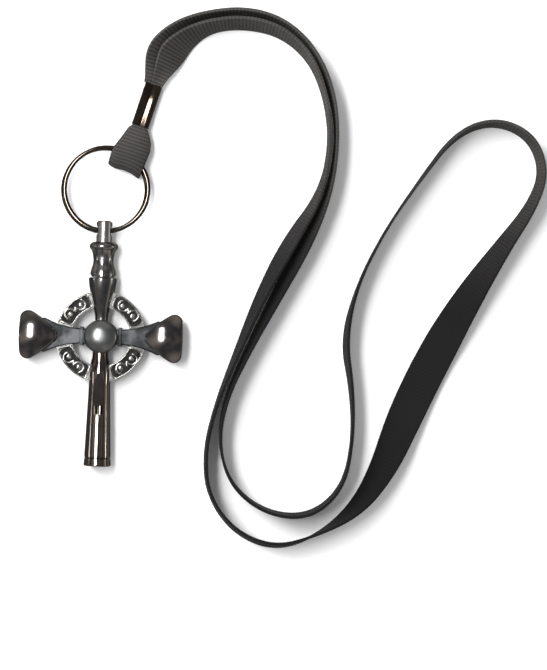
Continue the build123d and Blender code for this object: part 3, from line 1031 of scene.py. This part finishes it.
@dataclass
class Studio:
    """The table, the lights and a camera that looks straight down."""

    hub_y: float
    field_height: float = 227.8 * MM
    camera_height: float = 1.2
    aim: tuple[float, float] = (58.35 * MM, 2.35 * MM)
    roll: float = 1.8
    table_size: float = 6.0
    fill: float = 0.62
    walls: tuple = ((0.40, (0.075, 0.078, 0.085, 1.0)), (0.66, (0.40, 0.37, 0.33, 1.0)))
    wall_scale: float = 1.7

    def camera(self) -> None:
        """Adds the camera over the middle of the view, a long lens turned a little."""
        bpy.ops.object.camera_add(
            location=(self.aim[0], self.aim[1] + self.hub_y, self.camera_height),
            rotation=(0, 0, math.radians(self.roll)),
        )
        camera = bpy.context.object
        camera.data.lens = camera.data.sensor_width * self.camera_height / self.field_height
        camera.data.clip_start = 0.01
        bpy.context.scene.camera = camera

    def table(self) -> None:
        """Adds the pale table. Polished metal doesn't mirror it."""
        bpy.ops.mesh.primitive_plane_add(size=self.table_size, location=(0, 0, 0))
        table = bpy.context.object
        table.name = "table"
        shader = Shader("table_paper", Roughness=0.9, Base_Color=(0.93, 0.93, 0.935, 1.0))
        table.data.materials.append(shader.material)
        table.visible_glossy = False

    def lamp(self, name: str, place: Point, target: Point, size: tuple[float, float], power: float,
             mirrored: bool = True) -> None:
        """Adds a soft box.

        Args:
            name: The lamp's name.
            place: Where it hangs.
            target: What it points at.
            size: Its width and height.
            power: Its power in watts.
            mirrored: Whether polished metal shows it.
        """
        bpy.ops.object.light_add(type="AREA", location=place)
        lamp = bpy.context.object
        lamp.name = name
        lamp.data.shape = "RECTANGLE"
        lamp.data.size, lamp.data.size_y = size
        lamp.data.energy = power
        lamp.visible_glossy = mirrored
        lamp.rotation_euler = (Vector(target) - Vector(place)).to_track_quat("-Z", "Y").to_euler()

    def lamps(self) -> None:
        """Adds a key soft box, a long one by the lens and a small one at each side."""
        aim = (self.aim[0], self.hub_y, 0.0)
        self.lamp("key", (-0.52, 0.50, 0.72), aim, (0.60, 0.60), 12.0, mirrored=False)
        self.lamp("lens_box", (-0.26, 0.18, 1.00), (0.0, 0.18, 0.0), (0.56, 0.17), 8.0)
        self.lamp("right_strip", (0.90, -0.05, 0.12), (0.0, -0.05, 0.0), (0.07, 0.08), 0.30)
        self.lamp("left_strip", (-0.85, -0.05, 0.25), (0.0, -0.05, 0.0), (0.07, 0.08), 0.12)

    def world(self) -> None:
        """Adds an even fill for the table, and a dark cloudy room for polished metal to mirror."""
        world = bpy.data.worlds.new("studio")
        bpy.context.scene.world = world
        world.use_nodes = True
        nodes = Nodes(world.node_tree)
        white = {"Color": (1.0, 1.0, 1.0, 1.0), "Strength": self.fill}
        fill = nodes.node("ShaderNodeBackground", {}, white)
        cloud = nodes.noise(nodes.place("Generated"), self.wall_scale, 1.0)
        tone = nodes.value("ShaderNodeValToRGB", {"stops": self.walls}, {0: cloud})
        room = nodes.node("ShaderNodeBackground", {}, {"Color": tone})
        mirrored = nodes.value("ShaderNodeLightPath", {}, {}, "Is Glossy Ray")
        mix = nodes.node("ShaderNodeMixShader", {}, {0: mirrored, 1: fill.outputs[0], 2: room.outputs[0]})
        nodes.node("ShaderNodeOutputWorld", {}, {"Surface": mix.outputs[0]})

    def build(self) -> None:
        """Adds everything."""
        bpy.context.scene.view_settings.view_transform = "Standard"
        self.camera()
        self.table()
        self.lamps()
        self.world()


@dataclass
class Finishes:
    """Every material, by the record's slots, and the few that belong to one node."""

    axis_height: float
    made: dict[str, bpy.types.Material] = field(default_factory=dict)
    own: dict[str, bpy.types.Material] = field(default_factory=dict)

    def build(self) -> dict[str, bpy.types.Material]:
        """Builds the materials.

        Returns:
            Each slot's material.
        """
        finishes = {
            "knob_metal": TurnedMetal("knob_nickel", (0.36, 0.35, 0.335), 0.21),
            "barrel_metal": TurnedMetal("barrel_nickel", (0.27, 0.265, 0.26), 0.20),
            "tube_metal": TurnedMetal("tube_nickel", (0.30, 0.26, 0.235), 0.12),
            "rod_steel": TurnedMetal("rod_steel", (0.55, 0.55, 0.55), 0.25),
            "brass": TurnedMetal("turned_brass", (0.72, 0.52, 0.24), 0.25),
            "seal_rubber": Dull("seal_rubber", (0.02, 0.02, 0.02), 0.6),
            "hub_metal": TurnedMetal("boss_nickel", (0.31, 0.32, 0.32), 0.32, 0.35),
            "arm_metal": CastMetal("arm_pewter", (0.026, 0.028, 0.029), (0.098, 0.103, 0.106), 0.40),
            "halo_silver": AntiqueSilver("halo_silver", (0.46, 0.455, 0.44), (0.012, 0.012, 0.012),
                                         self.axis_height, 1.15 * MM, 1.70 * MM),
            "cap_metal": TurnedMetal("cap_nickel", (0.27, 0.25, 0.25), 0.13, 0.25),
            "block_plastic": Dull("block_plastic", (0.04, 0.04, 0.04), 0.5),
            "ring_steel": TurnedMetal("ring_nickel", (0.15, 0.125, 0.105), 0.10),
            "crimp_metal": TurnedMetal("crimp_nickel", (0.13, 0.10, 0.08), 0.12),
            # Webbing colours: the thread, the lighter thread that paints light on the strap's upper part,
            # and the painted shade of the weave's grooves.
            "webbing": Webbing("strap_webbing", (0.009, 0.008, 0.009), (0.084, 0.079, 0.074),
                               (0.006, 0.006, 0.006)),
        }
        self.made = {slot: finish.material() for slot, finish in finishes.items()}
        self.own = {"ring_stem": TurnedMetal("stem_satin", (0.50, 0.49, 0.48), 0.30, 0.12).material()}
        return self.made

    def dress_nodes(self, frame: dict) -> None:
        """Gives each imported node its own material, or the one of its slot.

        Args:
            frame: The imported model.
        """
        for part in frame["record"]["subparts"]:
            node = frame["nodes"][part["node"]]
            node.data.materials.clear()
            node.data.materials.append(self.own.get(part["node"], self.made[part["material_slot"]]))
            log.info("%s is %s", part["node"], part["material_slot"])


def main() -> None:
    """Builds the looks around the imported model."""
    logging.basicConfig(level=logging.INFO, format="%(name)s: %(message)s")
    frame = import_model()
    hub_low, hub_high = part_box("hub_core")
    hub = (Vector(hub_low) + Vector(hub_high)) / 2
    Studio(hub.y).build()
    finishes = Finishes(hub.z)
    materials = finishes.build()
    ring_low, ring_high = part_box("split_ring")
    ring = (Vector(ring_low) + Vector(ring_high)) / 2
    wire = Vector((RING_RADIUS * math.cos(LOOP_ANGLE), RING_RADIUS * math.sin(LOOP_ANGLE), 0.0))
    wire.rotate(Euler((-RING_TILT, 0.0, 0.0)))
    bight = Bight(ring + wire)
    fittings = [bight.build(materials["webbing"]), Crimp(bight).build(materials["crimp_metal"])]
    Strap(hub.y).build(materials["webbing"], fittings)
    RingCoils(ring).build(materials["ring_steel"])
    Scrolls(hub).build(materials["halo_silver"])
    finishes.dress_nodes(frame)


if __name__ == "__main__":
    main()
